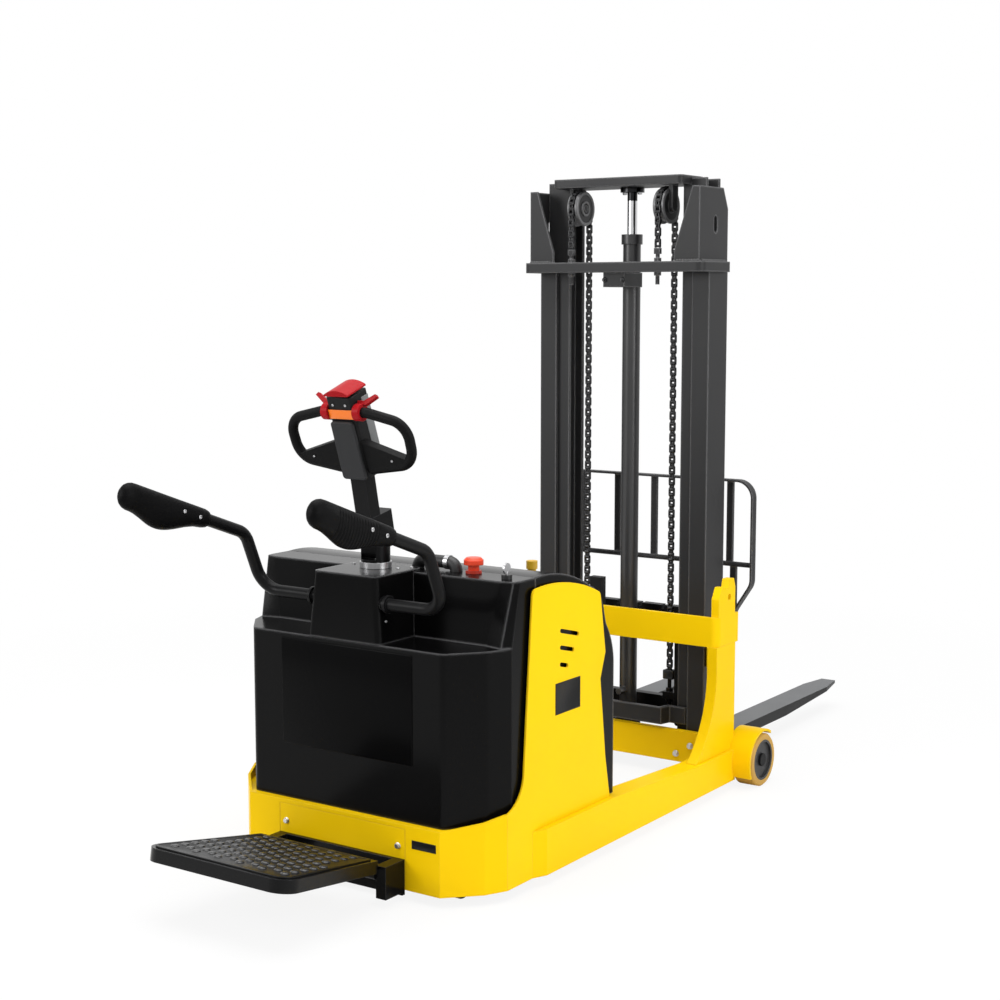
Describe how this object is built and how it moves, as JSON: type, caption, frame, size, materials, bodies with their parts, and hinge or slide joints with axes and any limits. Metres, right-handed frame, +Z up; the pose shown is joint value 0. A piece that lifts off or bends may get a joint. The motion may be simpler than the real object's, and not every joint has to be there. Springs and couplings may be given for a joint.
{
  "type": "electric stacker",
  "caption": "Electric straddle stacker with a two-stage chain-lift mast, sliding forks, tilting steering tiller, fold-up rider platform and padded side arms.",
  "frame": {"origin": "on the floor under the middle of the overall length and width", "axes": "+Y forward along the forks, +X to the truck's right-hand side, +Z up"},
  "size_m": [1.1, 3.32, 2.06],
  "materials": {
    "yellow_paint": "gloss",
    "black_cover": "satin",
    "black_steel": "satin",
    "charcoal_steel": "satin",
    "bright_steel": "satin",
    "chrome": "polished",
    "chain_steel": "oiled",
    "tread": "matt",
    "black_tread": "matt",
    "dark_hub": "satin",
    "black_rubber": "matt",
    "black_plastic": "fine texture",
    "grey_plastic": "fine texture",
    "red_plastic": "satin",
    "stop_red": "satin",
    "battery_case": "matt"
  },
  "bodies": {
    "chassis": {"rear_tub": "yellow_paint", "rear_panel": "yellow_paint", "front_pan": "black_steel", "side_plate_right": "yellow_paint", "side_plate_left": "yellow_paint", "leg_right": "yellow_paint", "leg_left": "yellow_paint", "uprights": "yellow_paint", "cross_beams": "yellow_paint", "mast_sensor": "black_plastic", "rear_hood": "black_cover", "front_cover": "black_cover", "console": "black_cover", "dash_fittings": "black_plastic", "battery": "battery_case", "hydraulic_unit": "black_steel", "outer_rails": "charcoal_steel", "mast_foot": "charcoal_steel", "outer_head": "charcoal_steel", "cylinder_tube": "charcoal_steel", "platform_bracket": "black_steel"},
    "inner_mast": {"inner_rails": "charcoal_steel", "inner_crossmembers": "charcoal_steel", "cylinder_rod": "chrome", "lift_chain_right": "chain_steel", "lift_chain_left": "chain_steel"},
    "chain_pulleys": {"chain_pulleys": "bright_steel"},
    "foot_rollers": {"foot_rollers": "bright_steel"},
    "carriage": {"carriage_frame": "black_steel", "load_backrest": "charcoal_steel"},
    "carriage_rollers_upper": {"carriage_rollers_upper": "bright_steel"},
    "carriage_rollers_lower": {"carriage_rollers_lower": "bright_steel"},
    "fork_right": {"fork_right": "black_steel"},
    "fork_left": {"fork_left": "black_steel"},
    "load_wheel_right": {"load_tyre_right": "tread", "load_hub_right": "dark_hub"},
    "load_wheel_left": {"load_tyre_left": "tread", "load_hub_left": "dark_hub"},
    "drive_unit": {"drive_unit": "bright_steel"},
    "drive_wheel": {"drive_wheel": "black_tread"},
    "tiller": {"tiller_tube": "black_steel", "tiller_head": "black_plastic", "head_cover": "grey_plastic", "handle_loops": "black_plastic"},
    "thumb_paddles": {"thumb_paddles": "red_plastic"},
    "belly_button": {"belly_button": "red_plastic"},
    "lift_rocker": {"lift_rocker": "black_plastic"},
    "horn_button": {"horn_button": "black_plastic"},
    "stop_button": {"stop_button": "stop_red"},
    "key": {"key": "black_plastic"},
    "platform": {"platform_deck": "black_steel", "platform_mat": "black_rubber"},
    "arm_right": {"arm_right": "black_steel", "pad_right": "black_rubber"},
    "arm_left": {"arm_left": "black_steel", "pad_left": "black_rubber"},
    "caster_right": {"caster_yoke_right": "bright_steel"},
    "caster_left": {"caster_yoke_left": "bright_steel"},
    "caster_wheel_right": {"caster_wheel_right": "black_tread"},
    "caster_wheel_left": {"caster_wheel_left": "black_tread"}
  },
  "joints": [
    {"name": "mast_lift", "type": "slide", "parent": "chassis", "child": "inner_mast", "axis": [0, 0, 1], "range_m": [0, 1.45], "deforming": ["lift_chain_right", "lift_chain_left"]},
    {"name": "carriage_lift", "type": "slide", "parent": "inner_mast", "child": "carriage", "axis": [0, 0, 1], "range_m": [0, 1.45]},
    {"name": "pulley_spin", "type": "hinge", "parent": "inner_mast", "child": "chain_pulleys", "pos_m": [0, 0.406, 1.96], "axis": [1, 0, 0], "range_deg": [0, 1413]},
    {"name": "foot_roller_spin", "type": "hinge", "parent": "inner_mast", "child": "foot_rollers", "pos_m": [0, 0.4735, 0.14], "axis": [1, 0, 0], "range_deg": [0, 1602]},
    {"name": "upper_roller_spin", "type": "hinge", "parent": "carriage", "child": "carriage_rollers_upper", "pos_m": [0, 0.4735, 0.47], "axis": [1, 0, 0], "range_deg": [-2191, 0]},
    {"name": "lower_roller_spin", "type": "hinge", "parent": "carriage", "child": "carriage_rollers_lower", "pos_m": [0, 0.4735, 0.19], "axis": [1, 0, 0], "range_deg": [0, 2191]},
    {"name": "fork_right_slide", "type": "slide", "parent": "carriage", "child": "fork_right", "axis": [1, 0, 0], "range_m": [-0.1, 0]},
    {"name": "fork_left_slide", "type": "slide", "parent": "carriage", "child": "fork_left", "axis": [1, 0, 0], "range_m": [0, 0.1]},
    {"name": "load_wheel_right_spin", "type": "hinge", "parent": "chassis", "child": "load_wheel_right", "pos_m": [0.5125, 0.44, 0.09], "axis": [1, 0, 0], "continuous": true},
    {"name": "load_wheel_left_spin", "type": "hinge", "parent": "chassis", "child": "load_wheel_left", "pos_m": [-0.5125, 0.44, 0.09], "axis": [1, 0, 0], "continuous": true},
    {"name": "steering", "type": "hinge", "parent": "chassis", "child": "drive_unit", "pos_m": [0, -0.97, 0.3], "axis": [0, 0, 1], "range_deg": [-60, 60]},
    {"name": "drive_wheel_spin", "type": "hinge", "parent": "drive_unit", "child": "drive_wheel", "pos_m": [0, -0.97, 0.115], "axis": [1, 0, 0], "continuous": true},
    {"name": "tiller_tilt", "type": "hinge", "parent": "drive_unit", "child": "tiller", "pos_m": [0, -0.98, 0.936], "axis": [1, 0, 0], "range_deg": [0, 32], "stiffness_Nm_per_rad": 40, "springref_deg": -22.92},
    {"name": "paddle_turn", "type": "hinge", "parent": "tiller", "child": "thumb_paddles", "pos_m": [0, -1.10337, 1.33817], "axis": [1, 0, 0], "range_deg": [-20, 20], "stiffness_Nm_per_rad": 1.5},
    {"name": "belly_press", "type": "slide", "parent": "tiller", "child": "belly_button", "axis": [0, -0.342, 0.9397], "range_m": [-0.006, 0], "stiffness_N_per_m": 2000, "springref_m": 0.004},
    {"name": "rocker_tip", "type": "hinge", "parent": "tiller", "child": "lift_rocker", "pos_m": [0, -1.03459, 1.3217], "axis": [1, 0, 0], "range_deg": [-8, 8], "stiffness_Nm_per_rad": 0.6},
    {"name": "horn_press", "type": "slide", "parent": "tiller", "child": "horn_button", "axis": [0, 0.9397, 0.342], "range_m": [-0.004, 0], "stiffness_N_per_m": 800, "springref_m": 0.003},
    {"name": "stop_press", "type": "slide", "parent": "chassis", "child": "stop_button", "axis": [0, 0, 1], "range_m": [-0.006, 0], "stiffness_N_per_m": 3000, "springref_m": 0.003},
    {"name": "key_turn", "type": "hinge", "parent": "chassis", "child": "key", "pos_m": [0.397, -0.89, 0.9], "axis": [0, 0, 1], "range_deg": [0, 90]},
    {"name": "platform_fold", "type": "hinge", "parent": "chassis", "child": "platform", "pos_m": [0, -1.21, 0.095], "axis": [1, 0, 0], "range_deg": [-75, 9.5], "stiffness_Nm_per_rad": 60, "springref_deg": -34.38},
    {"name": "arm_right_fold", "type": "hinge", "parent": "chassis", "child": "arm_right", "pos_m": [0.2, -1.085, 0.81], "axis": [1, 0, 0], "range_deg": [-80, 0]},
    {"name": "arm_left_fold", "type": "hinge", "parent": "chassis", "child": "arm_left", "pos_m": [-0.2, -1.085, 0.81], "axis": [1, 0, 0], "range_deg": [-80, 0]},
    {"name": "caster_right_swivel", "type": "hinge", "parent": "chassis", "child": "caster_right", "pos_m": [0.33, -1, 0.2], "axis": [0, 0, 1], "continuous": true},
    {"name": "caster_wheel_right_spin", "type": "hinge", "parent": "caster_right", "child": "caster_wheel_right", "pos_m": [0.33, -1.03, 0.05], "axis": [1, 0, 0], "continuous": true},
    {"name": "caster_left_swivel", "type": "hinge", "parent": "chassis", "child": "caster_left", "pos_m": [-0.33, -1, 0.2], "axis": [0, 0, 1], "continuous": true},
    {"name": "caster_wheel_left_spin", "type": "hinge", "parent": "caster_left", "child": "caster_wheel_left", "pos_m": [-0.33, -1.03, 0.05], "axis": [1, 0, 0], "continuous": true}
  ],
  "couplings": [
    {"joint": "carriage_lift", "follows": "mast_lift", "ratio": 1},
    {"joint": "pulley_spin", "follows": "mast_lift", "rad_per_m": 16.949},
    {"joint": "foot_roller_spin", "follows": "mast_lift", "rad_per_m": 19.231},
    {"joint": "upper_roller_spin", "follows": "mast_lift", "rad_per_m": -26.316},
    {"joint": "lower_roller_spin", "follows": "mast_lift", "rad_per_m": 26.316}
  ]
}
